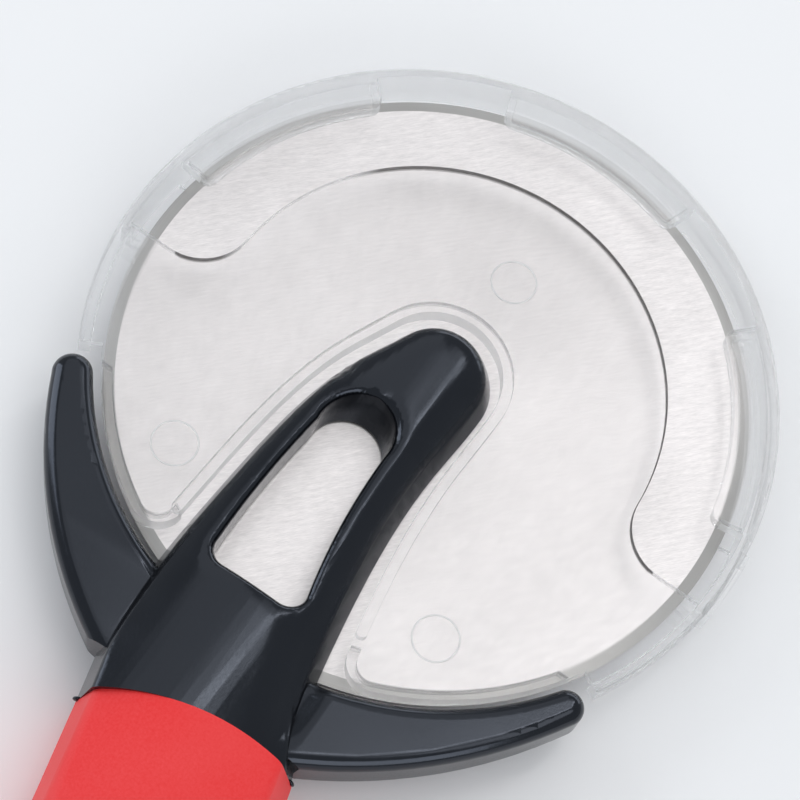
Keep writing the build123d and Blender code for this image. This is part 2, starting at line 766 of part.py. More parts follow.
lip_angles = (90 - lip_spacing, 90, 90 + lip_spacing)
window_angles = (90 - lip_spacing / 2, 90 + lip_spacing / 2)
with BuildPart() as blade_guard:
    # Front part of the rim, down to the tips of the finger guard
    with BuildSketch(mid_plane.offset(skirt_gap)):
        add(sector(rim_inner, guard_radius, -tip_angle, 180 + 2 * tip_angle))
    extrude(amount=guard_half_depth - skirt_gap)
    fillet(outer_edge(blade_guard.edges().group_by(Axis.Z)[-1]), guard_rounding)
    # Back part of the rim, no lower than lets it pass over the blade
    with BuildSketch(mid_plane.offset(-guard_half_depth)):
        add(sector(rim_inner, guard_radius, -end_angle, 180 + 2 * end_angle))
    extrude(amount=guard_half_depth + skirt_gap)
    fillet(outer_edge(blade_guard.edges().group_by(Axis.Z)[0]), guard_rounding)
    # Front lips, with a bead towards the blade
    with BuildSketch(mid_plane.offset(skin_floor)):
        for angle in lip_angles:
            add(lip(angle, lip_span))
    extrude(amount=guard_skin)
    with BuildSketch(mid_plane.offset(skin_floor - bead_height)):
        for angle in lip_angles:
            add(band(lip(angle, lip_span), bead_width))
    extrude(amount=bead_height)
    # Back lips between the front ones, and at the rim's ends
    with BuildSketch(mid_plane.offset(-guard_half_depth)):
        for angle in window_angles:
            add(lip(angle, lip_spacing - lip_span))
        end_span = end_angle + 90 - lip_spacing - lip_span / 2
        add(lip(end_span / 2 - end_angle, end_span))
        add(lip(180 - end_span / 2 + end_angle, end_span))
    extrude(amount=guard_skin)
    # Front plate, its skirt along the lower edge, and the rib round the cut-out
    with BuildSketch(mid_plane.offset(skin_floor)):
        add(plate_face())
    extrude(amount=guard_skin)
    with BuildSketch(mid_plane.offset(skirt_gap)):
        add(skirt_face(skirt_set_back))
        add(skirt_face(skirt_set_back + skirt_wall), mode=Mode.SUBTRACT)
        Circle(skirt_radius - skirt_depth, mode=Mode.SUBTRACT)
    extrude(amount=skin_floor - skirt_gap)
    with BuildSketch(mid_plane.offset(guard_half_depth)) as rib:
        add(notch_face(rib_width))
        add(notch_face(0), mode=Mode.SUBTRACT)
        with Locations((0, -rib_end_drop - 2 * guard_radius)):
            Rectangle(4 * guard_radius, 4 * guard_radius, mode=Mode.SUBTRACT)
        fillet(rib.vertices().group_by(Axis.Y)[0], rib_end_radius)
    extrude(amount=rib_height)
    # Thumb pads at the rim's ends
    with BuildSketch(mid_plane.offset(-pad_half_height)):
        pad_span = end_angle + pad_angle
        add(sector(lip_root, guard_radius + pad_proud, -end_angle, pad_span))
        add(sector(lip_root, guard_radius + pad_proud, 180 - pad_angle, pad_span))
    extrude(amount=2 * pad_half_height)
    # Round marks left by the mould's ejector pins
    with BuildSketch(mid_plane.offset(guard_half_depth - mark_depth)):
        with Locations(*[(x * guard_radius, y * guard_radius) for x, y in mark_shares]):
            Circle(mark_radius)
    extrude(amount=mark_depth, mode=Mode.SUBTRACT)
blade_guard.part.label = "blade_guard"
export_step(blade_guard.part, "parts/blade_guard.step")
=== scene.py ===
"""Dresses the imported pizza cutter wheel: brushed blade, clear guard, black yoke and red grip."""

import bmesh
import bpy
from bpy.props import FloatProperty, FloatVectorProperty, PointerProperty
from math import pi, radians
from mathutils import Euler, Matrix, Vector
from mathutils.bvhtree import BVHTree


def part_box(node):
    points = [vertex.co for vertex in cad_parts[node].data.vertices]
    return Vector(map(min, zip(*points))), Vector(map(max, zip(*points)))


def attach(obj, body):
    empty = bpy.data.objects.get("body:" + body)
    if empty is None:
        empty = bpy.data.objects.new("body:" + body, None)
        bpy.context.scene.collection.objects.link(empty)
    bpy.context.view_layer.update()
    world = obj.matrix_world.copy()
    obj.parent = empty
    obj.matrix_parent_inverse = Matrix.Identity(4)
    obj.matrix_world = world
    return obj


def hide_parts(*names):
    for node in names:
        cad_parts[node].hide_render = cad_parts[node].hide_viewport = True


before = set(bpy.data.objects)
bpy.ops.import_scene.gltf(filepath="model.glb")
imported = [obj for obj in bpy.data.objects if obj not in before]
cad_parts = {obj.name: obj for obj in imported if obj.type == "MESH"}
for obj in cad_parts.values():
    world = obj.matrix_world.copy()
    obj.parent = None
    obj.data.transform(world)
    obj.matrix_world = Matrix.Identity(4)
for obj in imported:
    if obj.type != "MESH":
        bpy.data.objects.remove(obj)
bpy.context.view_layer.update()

bl_info = {
    "name": "Pizza cutter wheel",
    "version": (1, 0, 0),
    "blender": (4, 5, 0),
    "location": "View3D > Sidebar > Cutter",
    "description": "Dresses the packed pizza cutter wheel with its finished pieces and materials",
    "category": "Object",
}

MM = 0.001

# What counts as one corner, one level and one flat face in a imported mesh
SAME_PLACE = 0.002 * MM
SAME_LEVEL = 0.02 * MM
SAME_FACE = radians(0.5)
# Edges sharper than this stay sharp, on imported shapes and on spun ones
SHARP_ANGLE = radians(32)
SPUN_SHARP_ANGLE = radians(8)

# The blade's sizes, from its packed box
blade_low, blade_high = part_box("blade")
BLADE_RADIUS = (blade_high.x - blade_low.x) / 2
BLADE_LEVEL = (blade_low.z + blade_high.z) / 2
BLADE_THICKNESS = blade_high.z - blade_low.z

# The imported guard: the top of its plate, and the outside and thickness of its rim
GUARD_PLATE = 13.7 * MM
GUARD_RADIUS = 54 * MM
GUARD_WALL = 0.6 * MM
# A thumb pad is what stands out from the rim by more than this
PAD_LEAST = 0.1 * MM
# The middle and half the width of the ring that the lips' beads are in
BEAD_RADIUS = 47.2 * MM
BEAD_REACH = 1.3 * MM
# Where the plate's wavy edge and the lips start in Y
WAVY_START = -14 * MM
LIP_START = 5 * MM
# A face of the guard is upright where its normal rises less than this
UPRIGHT_RISE = 0.5
# The wavy edge is rounded where its faces meet at more than this angle, in radians
TRIM_ANGLE = 1.0
# The guard's finishes, in the order of its material slots
POLISHED, DRAWN, TRIMMED, OUTER = range(4)
# Centres of the ejector marks on the plate, and where the painted shade on its wavy edge fades
# out, as light catches the edge there: unshaded up to the first distance, fully shaded from the
# second
MARK_PLACES = ((1.1 * MM, 20.9 * MM), (-25.4 * MM, -32.0 * MM), (22.8 * MM, -34.2 * MM))
EDGE_LIT_PLACE = (-33.5 * MM, 11.5 * MM, 13.0 * MM)
EDGE_LIT_REACH, EDGE_SHADE_REACH = 8 * MM, 15 * MM

# The yoke's front: its mesh is cut in X and Y at every millimetre of these ranges, and the cuts
# in Y stop short of the right arm, which isn't shaped
FRONT_STEPS_X, FRONT_STEPS_Y = range(-16, 17), range(-67, 12)
RIGHT_ARM_START = 16.01 * MM
CUT_MERGE = 0.02 * MM
# Where in Y the crease starts to lean, how much it leans, and where across its width it is cut
CREASE_BEND = -46.5 * MM
CREASE_LEAN = 0.29
CREASE_CUT_SHARES = (-0.7, -0.25, 0.25, 0.7)
# A face is a wall where its normal rises less than this, and one of the front's where it reaches
# above this level
WALL_RISE = 0.3
WALL_TOP = 14.75 * MM
# The front, which is above this level, is looked for this far beside a wall and from this height
FRONT_LEVEL = 14.9 * MM
BESIDE_WALL = 2 * MM
RAY_HEIGHT = 30 * MM
# The box round the window, and the end at the seam, whose wall isn't part of the outline
WINDOW_X = (-12 * MM, 5.5 * MM)
WINDOW_Y = (-52 * MM, -7 * MM)
SEAM_START = -60 * MM
SEAM_FACING = -0.7
# The front is lowered above this level, in full from this height above it, and this much at most
DROP_LEVEL = 12.6 * MM
DROP_HEIGHT = 3.4 * MM
DEEPEST_DROP = 1.9 * MM
# The flank gets steeper over this width, and then goes on at an even height below the crown
FLANK_REACH = 5 * MM
# Where the lowering fades: in X at the arms, in Y at the nose, and in -Y at the seam
ARM_FADE = (12.5 * MM, 15.5 * MM)
NOSE_FADE = (-3 * MM, 5 * MM)
FLANK_SEAM_FADE = (54 * MM, 66 * MM)
SHOULDER_SEAM_FADE = (50 * MM, 66 * MM)
# Where the seam with the grip meets the outline, in millimetres, which way each nub of flash
# points there, and how it is drawn out
SEAM_ENDS = (((-14.3, -70.9, 10.0), radians(25)), ((17.4, -63.2, 10.0), radians(-10)))
FLASH_STRETCH = (1.5, 0.7, 1.6)

# Soft lights aimed at one target: name, place, width, length, brightness and tint
LIGHT_TARGET = (0, -0.03, 0)
LIGHTS = (
    ("key_wide", (0.06, 0.38, 0.97), 0.34, 1.0, 0.4, "#FFFFFF"),
    ("key_middle", (0.09, 0.38, 0.965), 0.26, 0.9, 0.55, "#FFFFFF"),
    ("key_narrow", (0.14, 0.38, 0.96), 0.07, 0.8, 4.4, "#FFFFFF"),
    ("lower_key", (0.42, -0.02, 0.95), 0.34, 0.34, 1.6, "#FFFFFF"),
    ("overhead", (-0.26, 0.34, 0.975), 0.62, 1.4, 0.56, "#FFFFFF"),
    ("left_fill", (-1.1, -0.1, 0.40), 0.5, 1.2, 2.8, "#F0F6FF"),
    ("back_fill", (0.1, 1.2, 0.25), 1.4, 0.4, 1.8, "#F6FAFF"),
    ("front_fill", (0.7, -0.75, 0.60), 0.8, 0.6, 2.4, "#F6FAFF"),
)
# How far the floor reaches, and its level, a little low so that it shares no plane with the part
FLOOR_REACH = 2.5
FLOOR_LEVEL = -0.05 * MM
# The photograph's camera
CAMERA_PLACE = (40.39 * MM, -150.53 * MM, 359.56 * MM)
CAMERA_TURN = (radians(22.40), radians(-7.363), radians(33.723))
SENSOR_WIDTH = 36


def linear(hex_colour):
    """A linear colour from an sRGB hex one."""
    channels = [int(hex_colour[i : i + 2], 16) / 255 for i in (1, 3, 5)]
    return tuple(c / 12.92 if c <= 0.04045 else ((c + 0.055) / 1.055) ** 2.4 for c in channels)


def colour(name, description, hex_colour):
    """A colour property with a default from an sRGB hex colour."""
    return FloatVectorProperty(
        name=name,
        description=description,
        default=linear(hex_colour),
        subtype="COLOR",
        min=0,
        max=1,
    )


def distance(name, description, default_mm):
    """A length property with a default in millimetres."""
    return FloatProperty(
        name=name,
        description=description,
        default=default_mm * MM,
        unit="LENGTH",
        subtype="DISTANCE",
    )


def share(name, description, default):
    """A property between nothing and one."""
    return FloatProperty(
        name=name, description=description, default=default, min=0, max=1, subtype="FACTOR"
    )


class BladeSettings(bpy.types.PropertyGroup):
    steel: colour("Steel", "Colour of the brushed face", "#EDE8E7")
    # The ground edge's colour is darker partly for its duller ground finish and partly as painted
    # shade for the darker surroundings that it reflects
    ground: colour("Ground edge", "Colour of the ground bevel", "#C6C3C0")
    grain_heading: FloatProperty(
        name="Grain heading",
        description="Direction of the brushing in plan",
        default=radians(47),
        unit="ROTATION",
    )
    grain_width: distance("Grain width", "Width of one brushed streak", 0.13)
    grain_length: distance("Grain length", "Length of one brushed streak", 1.3)
    bevel_width: distance("Bevel width", "Width of the ground bevel", 1.8)
    edge_land: distance("Edge land", "Thickness left at the cutting edge", 0.2)
    hole_radius: distance("Hole radius", "Radius of the hole for the hub", 3.6)
    roughness: share("Roughness", "Roughness of the brushed face", 0.48)


class GuardSettings(bpy.types.PropertyGroup):
    plastic: colour("Plastic", "Tint of the clear plastic", "#FFFFFF")
    gloss: colour("Gloss", "Tint of the reflections on the polished plastic", "#B4B8BC")
    # The wavy edge's colour is painted shade: a dark line where the edge is seen dark
    cut: colour("Cut edge", "Colour of the grime on the plate's wavy edge", "#57504B")
    refraction: FloatProperty(
        name="Refraction", description="Index of refraction of the plastic", default=1.45
    )
    body: share("Body", "How much of the polished faces is seen", 0.42)
    outer_body: share("Outer body", "How much of the polished outer walls is seen", 0.45)
    wall_body: share("Wall body", "How much of the drawn walls is seen", 0.58)
    wall_clearness: share("Wall clearness", "How much light the drawn walls let through", 0.8)
    roughness: share("Roughness", "Roughness of the polished plastic", 0.04)
    wall_roughness: share("Wall roughness", "Roughness of the drawn walls", 0.4)
    ripple: distance("Ripple", "Height of the slow ripples in the moulding", 0.02)
    edge_rounding: distance("Edge rounding", "Rounding of the moulded edges", 0.28)
    trim: distance("Trim", "Rounding of the plate's wavy edge", 0.42)
    edge_start: distance("Edge start", "Radius where the wavy edge starts", 24)
    edge_finish: distance("Edge finish", "Radius where the wavy edge ends", 46.5)
    mark_radius: distance("Mark radius", "Radius of the ejector marks", 3.55)
    mark_width: distance("Mark width", "Width of the rim round an ejector mark", 0.3)
    mark_depth: distance("Mark depth", "Depth of the packed marks, which are filled", 0.12)
    mark_rise: distance("Mark rise", "Height of the rim round an ejector mark", 0.12)


class YokeSettings(bpy.types.PropertyGroup):
    plastic: colour("Plastic", "Colour of the black plastic", "#090A0D")
    gloss: colour("Gloss", "Tint of the reflections on the black plastic", "#E4EDFF")
    dust: colour("Dust", "Colour of the specks of dust", "#8A8A88")
    edge_rounding: distance("Edge rounding", "Rounding of the moulded edges", 0.25)
    roughness: share("Roughness", "Roughness of the black plastic", 0.16)
    grain: distance("Grain", "Size of the fine surface grain", 0.35)
    flash_size: distance("Flash size", "Size of the moulding flash at the seam's ends", 0.5)
    crease: distance("Crease", "Distance of the front's crease from the middle", 3.2)
    crease_softness: distance("Crease softness", "Half the crease's width", 1.0)
    flank_slope: FloatProperty(
        name="Flank slope", description="How much steeper the flank is", default=0.24
    )
    shoulder: distance("Shoulder", "Width of the rounding along the outline", 4.5)
    shoulder_drop: distance("Shoulder drop", "Depth of the rounding along the outline", 1.1)
    window_shoulder: distance("Window shoulder", "Width of the rounding at the window", 2.4)
    window_drop: distance("Window drop", "Depth of the rounding at the window", 0.7)


class GripSettings(bpy.types.PropertyGroup):
    rubber: colour("Rubber", "Colour of the soft grip", "#EA1E1F")
    edge_rounding: distance("Edge rounding", "Rounding of the grip's edges", 0.5)
    roughness: share("Roughness", "Roughness of the soft grip", 0.55)
    grain: distance("Grain", "Size of the soft grip's grain", 0.4)


class HardwareSettings(bpy.types.PropertyGroup):
    steel: colour("Steel", "Colour of the turned steel parts", "#B9B9BB")
    nylon: colour("Nylon", "Colour of the washers", "#E6E5DF")


class StageSettings(bpy.types.PropertyGroup):
    paper: colour("Paper", "Colour of the floor", "#F6F5F5")
    room: colour("Room", "Colour of the light from the room", "#EDF3F8")
    room_brightness: FloatProperty(
        name="Room brightness", description="Strength of the light from the room", default=0.52
    )
    focal_length: FloatProperty(
        name="Focal length", description="Lens of the camera", default=112.5, unit="CAMERA"
    )


# Materials

# Sockets of the node that mixes two colours, whose names repeat
FACTOR, FIRST, SECOND, MIXED = 0, 6, 7, 2


def material_tree(name):
    """A new node material with its shader."""
    material = bpy.data.materials.new(name)
    material.use_nodes = True
    tree = material.node_tree
    return material, tree, tree.nodes["Principled BSDF"]


def add(tree, kind, links, output=0, **settings):
    """Adds a node with its settings and inputs, values or outputs, and gives one of its outputs."""
    node = tree.nodes.new("ShaderNode" + kind)
    for name, value in settings.items():
        setattr(node, name, value)
    for name, value in links.items():
        socket = node.inputs[name]
        if isinstance(value, bpy.types.NodeSocket):
            tree.links.new(value, socket)
        else:
            socket.default_value = (*value[:3], 1) if socket.type == "RGBA" else value
    return node.outputs[output]


def shade(tree, shader, links):
    """Sets the shader's inputs, each a value or a node's output."""
    for name, value in links.items():
        if isinstance(value, bpy.types.NodeSocket):
            tree.links.new(value, shader.inputs[name])
        else:
            shader.inputs[name].default_value = value


def darker(tint, part):
    """A colour with a part of its light."""
    return tuple(part * channel for channel in tint)


def brushed_stainless_steel(settings):
    """Stainless sheet brushed one way: fine streaks scatter light across the grain. The ground
    edge is duller, with lines that run round the disc, and its colour is darker, partly for its
    ground finish and partly as painted shade for the darker surroundings that it reflects."""
    # The real grain is about 0.03 mm wide, and is drawn coarser so that it shows
    along, across = 1 / settings.grain_length, 1 / settings.grain_width
    band_lengthening, band_widening = 3, 4
    cloud_size, grinding_width = 22 * MM, 0.3 * MM
    # How much the clouds, bands and streaks darken the face, and where their tones start
    cloud_part, band_part, streak_part, tone_start = 0.9, 1.1, 1.5, -1.25
    dark_face, dark_ground = darker(settings.steel, 0.76), darker(settings.ground, 0.7)
    rough_spread, smoother_ground, grain_depth = 0.2, -0.12, 0.004 * MM
    material, tree, shader = material_tree("brushed_stainless_steel")
    point = add(tree, "TexCoord", {}, "Object")
    turn = (0, 0, -settings.grain_heading)
    turned = add(tree, "Mapping", {"Vector": point, "Rotation": turn})
    close = add(tree, "Mapping", {"Vector": turned, "Scale": (along, across, 1)})
    wide_scale = (along / band_lengthening, across / band_widening, 1)
    wide = add(tree, "Mapping", {"Vector": turned, "Scale": wide_scale})
    streaks = add(
        tree, "TexNoise", {"Vector": close, "Scale": 1, "Detail": 3, "Roughness": 0.65}
    )
    bands = add(tree, "TexNoise", {"Vector": wide, "Scale": 1, "Detail": 3, "Roughness": 0.5})
    clouds = add(tree, "TexNoise", {"Vector": point, "Scale": 1 / cloud_size, "Detail": 2})
    tone = add(tree, "Math", {0: clouds, 1: cloud_part, 2: tone_start}, operation="MULTIPLY_ADD")
    tone = add(tree, "Math", {0: bands, 1: band_part, 2: tone}, operation="MULTIPLY_ADD")
    tone = add(tree, "Math", {0: streaks, 1: streak_part, 2: tone}, operation="MULTIPLY_ADD")
    sides = {FACTOR: tone, FIRST: settings.steel, SECOND: dark_face}
    face = add(tree, "Mix", sides, MIXED, data_type="RGBA")
    flat = add(tree, "VectorMath", {0: point, 1: (1, 1, 0)}, operation="MULTIPLY")
    radius = add(tree, "VectorMath", {0: flat}, "Value", operation="LENGTH")
    shoulder = BLADE_RADIUS - settings.bevel_width
    on_bevel = add(tree, "Math", {0: radius, 1: shoulder}, operation="GREATER_THAN")
    outward = add(tree, "CombineXYZ", {"X": radius})
    lines = add(tree, "TexNoise", {"Vector": outward, "Scale": 1 / grinding_width, "Detail": 2})
    # The ground bevel's darker colour is partly painted shade, for the darker surroundings that it
    # reflects
    sides = {FACTOR: lines, FIRST: settings.ground, SECOND: dark_ground}
    ground = add(tree, "Mix", sides, MIXED, data_type="RGBA")
    sides = {FACTOR: on_bevel, FIRST: face, SECOND: ground}
    surface = add(tree, "Mix", sides, MIXED, data_type="RGBA")
    least = settings.roughness - rough_spread / 2
    rough = add(tree, "Math", {0: streaks, 1: rough_spread, 2: least}, operation="MULTIPLY_ADD")
    rough = add(
        tree, "Math", {0: on_bevel, 1: smoother_ground, 2: rough}, operation="MULTIPLY_ADD"
    )
    relief = add(
        tree, "Bump", {"Height": streaks, "Distance": grain_depth, "Strength": 0.6}, "Normal"
    )
    shade(tree, shader, {"Base Color": surface, "Metallic": 1})
    shade(tree, shader, {"Roughness": rough, "Normal": relief})
    return material


def polished_polystyrene(settings, name, body):
    """Clear polystyrene from a polished mould: glossy, nearly lossless, with slow ripples where
    it shrank and a few scuffs."""
    ripple_size, scuff_size, scuff_part = 9 * MM, 0.8 * MM, 0.06
    material, tree, shader = material_tree(name)
    point = add(tree, "TexCoord", {}, "Object")
    sink = add(tree, "TexNoise", {"Vector": point, "Scale": 1 / ripple_size, "Detail": 1})
    scuffs = add(tree, "TexNoise", {"Vector": point, "Scale": 1 / scuff_size, "Detail": 2})
    least = settings.roughness - scuff_part / 2
    rough = add(tree, "Math", {0: scuffs, 1: scuff_part, 2: least}, operation="MULTIPLY_ADD")
    relief = add(
        tree, "Bump", {"Height": sink, "Distance": settings.ripple, "Strength": 0.5}, "Normal"
    )
    shade(tree, shader, {"Base Color": (*settings.plastic, 1), "Alpha": body})
    shade(tree, shader, {"Transmission Weight": 1, "IOR": settings.refraction})
    shade(tree, shader, {"Specular Tint": (*settings.gloss, 1)})
    shade(tree, shader, {"Roughness": rough, "Normal": relief})
    return material


def drawn_polystyrene(settings):
    """Polystyrene walls that rubbed on the mould as it opened: fine upright drag lines make them
    milky."""
    # The lines are long in the direction in which the mould opened
    line_gap, line_shortening, line_part = 0.3 * MM, 0.1, 0.2
    material, tree, shader = material_tree("drawn_polystyrene")
    point = add(tree, "TexCoord", {}, "Object")
    upright = add(tree, "Mapping", {"Vector": point, "Scale": (1, 1, line_shortening)})
    lines = add(tree, "TexNoise", {"Vector": upright, "Scale": 1 / line_gap, "Detail": 2})
    least = settings.wall_roughness - line_part / 2
    rough = add(tree, "Math", {0: lines, 1: line_part, 2: least}, operation="MULTIPLY_ADD")
    shade(tree, shader, {"Base Color": (*settings.plastic, 1), "Roughness": rough})
    shade(tree, shader, {"Transmission Weight": settings.wall_clearness})
    shade(tree, shader, {"IOR": settings.refraction, "Alpha": settings.wall_body})
    return material


def trimmed_polystyrene_painted_shade(settings):
    """The plate's trimmed edge, painted as a dark line of shade whose tone varies with the tool
    marks: the painted shade fades out near one place, where light catches the edge."""
    tool_mark_size = 0.6 * MM
    deep_edge_shade = darker(settings.cut, 0.6)
    unshaded_clearness, shaded_clearness = 0.95, 0.2
    material, tree, shader = material_tree("trimmed_polystyrene_painted_shade")
    point = add(tree, "TexCoord", {}, "Object")
    # The painted shade fades out towards the place where light catches the edge
    away = add(tree, "VectorMath", {0: point, 1: EDGE_LIT_PLACE}, "Value", operation="DISTANCE")
    span = {"Value": away, "From Min": EDGE_LIT_REACH, "From Max": EDGE_SHADE_REACH}
    edge_shade = add(tree, "MapRange", span)
    marks = add(tree, "TexNoise", {"Vector": point, "Scale": 1 / tool_mark_size, "Detail": 2})
    sides = {FACTOR: marks, FIRST: settings.cut, SECOND: deep_edge_shade}
    # Painted shade along the wavy edge, its tone varied by the tool marks
    worn = add(tree, "Mix", sides, MIXED, data_type="RGBA")
    sides = {FACTOR: edge_shade, FIRST: settings.plastic, SECOND: worn}
    surface = add(tree, "Mix", sides, MIXED, data_type="RGBA")
    clear = add(tree, "MapRange", {"Value": edge_shade, "To Min": unshaded_clearness, "To Max": shaded_clearness})
    seen = add(tree, "MapRange", {"Value": edge_shade, "To Min": settings.wall_body, "To Max": 1})
    shade(tree, shader, {"Base Color": surface, "Transmission Weight": clear, "Alpha": seen})
    shade(tree, shader, {"Roughness": settings.wall_roughness, "IOR": settings.refraction})
    return material


def moulded_abs(settings, name):
    """Black ABS from a half-gloss mould: soft reflections, a fine grain and a few specks of
    dust."""
    cloud_size, speck_gap, speck_size = 14 * MM, 7 * MM, 0.016
    slow_part, grain_part, roughness_shift = 0.25, 0.2, -0.215
    lighter_plastic, grain_depth = darker(settings.plastic, 1.6), 0.012 * MM
    material, tree, shader = material_tree(name)
    point = add(tree, "TexCoord", {}, "Object")
    fine = {"Vector": point, "Scale": 1 / settings.grain, "Detail": 3, "Roughness": 0.6}
    grain = add(tree, "TexNoise", fine)
    slow = add(tree, "TexNoise", {"Vector": point, "Scale": 1 / cloud_size, "Detail": 2})
    near_speck = add(tree, "TexVoronoi", {"Vector": point, "Scale": 1 / speck_gap}, "Distance")
    speck = add(tree, "Math", {0: near_speck, 1: speck_size}, operation="LESS_THAN")
    sides = {FACTOR: slow, FIRST: settings.plastic, SECOND: lighter_plastic}
    body = add(tree, "Mix", sides, MIXED, data_type="RGBA")
    sides = {FACTOR: speck, FIRST: body, SECOND: settings.dust}
    surface = add(tree, "Mix", sides, MIXED, data_type="RGBA")
    least = settings.roughness + roughness_shift
    rough = add(tree, "Math", {0: slow, 1: slow_part, 2: least}, operation="MULTIPLY_ADD")
    rough = add(tree, "Math", {0: grain, 1: grain_part, 2: rough}, operation="MULTIPLY_ADD")
    relief = add(
        tree, "Bump", {"Height": grain, "Distance": grain_depth, "Strength": 0.35}, "Normal"
    )
    shade(tree, shader, {"Base Color": surface, "Specular Tint": (*settings.gloss, 1)})
    shade(tree, shader, {"Roughness": rough, "Normal": relief})
    return material


def moulded_elastomer(settings):
    """Soft thermoplastic elastomer from a matt mould: a fine grain, a little bloom and no clear
    reflection."""
    cloud_size, grain_depth, bloom_light = 12 * MM, 0.03 * MM, 0.035
    slow_part, grain_part, tone_start = 0.9, 1.9, -1.05
    rough_spread, roughness_shift = 0.4, -0.18
    bloom = tuple(min(1, channel + bloom_light) for channel in settings.rubber)
    material, tree, shader = material_tree("moulded_elastomer")
    point = add(tree, "TexCoord", {}, "Object")
    fine = {"Vector": point, "Scale": 1 / settings.grain, "Detail": 3, "Roughness": 0.6}
    grain = add(tree, "TexNoise", fine)
    slow = add(tree, "TexNoise", {"Vector": point, "Scale": 1 / cloud_size, "Detail": 3})
    tone = add(tree, "Math", {0: slow, 1: slow_part, 2: tone_start}, operation="MULTIPLY_ADD")
    tone = add(tree, "Math", {0: grain, 1: grain_part, 2: tone}, operation="MULTIPLY_ADD")
    sides = {FACTOR: tone, FIRST: settings.rubber, SECOND: bloom}
    surface = add(tree, "Mix", sides, MIXED, data_type="RGBA")
    least = settings.roughness + roughness_shift
    rough = add(tree, "Math", {0: grain, 1: rough_spread, 2: least}, operation="MULTIPLY_ADD")
    relief = add(
        tree, "Bump", {"Height": grain, "Distance": grain_depth, "Strength": 0.5}, "Normal"
    )
    shade(tree, shader, {"Base Color": surface, "Roughness": rough, "Normal": relief})
    shade(tree, shader, {"Sheen Weight": 0.1, "Sheen Roughness": 0.4})
    return material


def turned_zinc_plated_steel(settings):
    """Steel turned on a lathe and zinc plated: fine rings about the axis and a greyish, slightly
    worn gloss."""
    tool_feed, ring_depth, wear_size = 0.18 * MM, 0.002 * MM, 1.2 * MM
    rough_spread, least = 0.5, 0.1
    dark_steel = darker(settings.steel, 0.7)
    material, tree, shader = material_tree("turned_zinc_plated_steel")
    point = add(tree, "TexCoord", {}, "Object")
    flat = add(tree, "VectorMath", {0: point, 1: (1, 1, 0)}, operation="MULTIPLY")
    radius = add(tree, "VectorMath", {0: flat}, "Value", operation="LENGTH")
    turns = add(tree, "Math", {0: radius, 1: 2 * pi / tool_feed}, operation="MULTIPLY")
    rings = add(tree, "Math", {0: turns}, operation="SINE")
    worn = add(tree, "TexNoise", {"Vector": point, "Scale": 1 / wear_size, "Detail": 3})
    sides = {FACTOR: worn, FIRST: settings.steel, SECOND: dark_steel}
    surface = add(tree, "Mix", sides, MIXED, data_type="RGBA")
    rough = add(tree, "Math", {0: worn, 1: rough_spread, 2: least}, operation="MULTIPLY_ADD")
    relief = add(
        tree, "Bump", {"Height": rings, "Distance": ring_depth, "Strength": 0.5}, "Normal"
    )
    shade(tree, shader, {"Base Color": surface, "Metallic": 1})
    shade(tree, shader, {"Roughness": rough, "Normal": relief})
    return material


def moulded_nylon(settings):
    """Unfilled nylon, moulded: off-white, slightly clouded and waxy, because light goes a little
    way in."""
    cloud_size, light_reach = 1.6 * MM, 0.5 * MM
    rough_spread, least = 0.4, 0.28
    dark_nylon = darker(settings.nylon, 0.85)
    material, tree, shader = material_tree("moulded_nylon")
    point = add(tree, "TexCoord", {}, "Object")
    clouds = add(tree, "TexNoise", {"Vector": point, "Scale": 1 / cloud_size, "Detail": 3})
    sides = {FACTOR: clouds, FIRST: settings.nylon, SECOND: dark_nylon}
    surface = add(tree, "Mix", sides, MIXED, data_type="RGBA")
    rough = add(tree, "Math", {0: clouds, 1: rough_spread, 2: least}, operation="MULTIPLY_ADD")
    shade(tree, shader, {"Base Color": surface, "Roughness": rough})
    shade(tree, shader, {"Subsurface Weight": 0.15, "Subsurface Scale": light_reach})
    return material


def smooth_paper(settings):
    """Uncoated background paper: pale, matt and even."""
    cloud_size = 60 * MM
    dark_paper = darker(settings.paper, 0.985)
    material, tree, shader = material_tree("smooth_paper")
    point = add(tree, "TexCoord", {}, "Object")
    clouds = add(tree, "TexNoise", {"Vector": point, "Scale": 1 / cloud_size, "Detail": 2})
    sides = {FACTOR: clouds, FIRST: settings.paper, SECOND: dark_paper}
    surface = add(tree, "Mix", sides, MIXED, data_type="RGBA")
    shade(tree, shader, {"Base Color": surface, "Roughness": 0.85})
    return material


# Pieces


def mesh_from(shape, name, materials):
    """A mesh with its material slots from a bmesh, which is freed."""
    mesh = bpy.data.meshes.new(name)
    shape.to_mesh(mesh)
    shape.free()
    for material in materials:
        mesh.materials.append(material)
    return mesh


def piece_from(shape, name, materials, body, nodes):
    """A finished piece from a bmesh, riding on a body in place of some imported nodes."""
    piece = bpy.data.objects.new(name, mesh_from(shape, name, materials))
    bpy.context.scene.collection.objects.link(piece)
    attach(piece, body)
    if nodes:
        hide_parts(*nodes)
    return piece


def mark_sharp(shape, angle):
    """Smooth faces, with the edges sharper than an angle left sharp."""
    for face in shape.faces:
        face.smooth = True
    for edge in shape.edges:
        edge.smooth = len(edge.link_faces) == 2 and edge.calc_face_angle(0) < angle


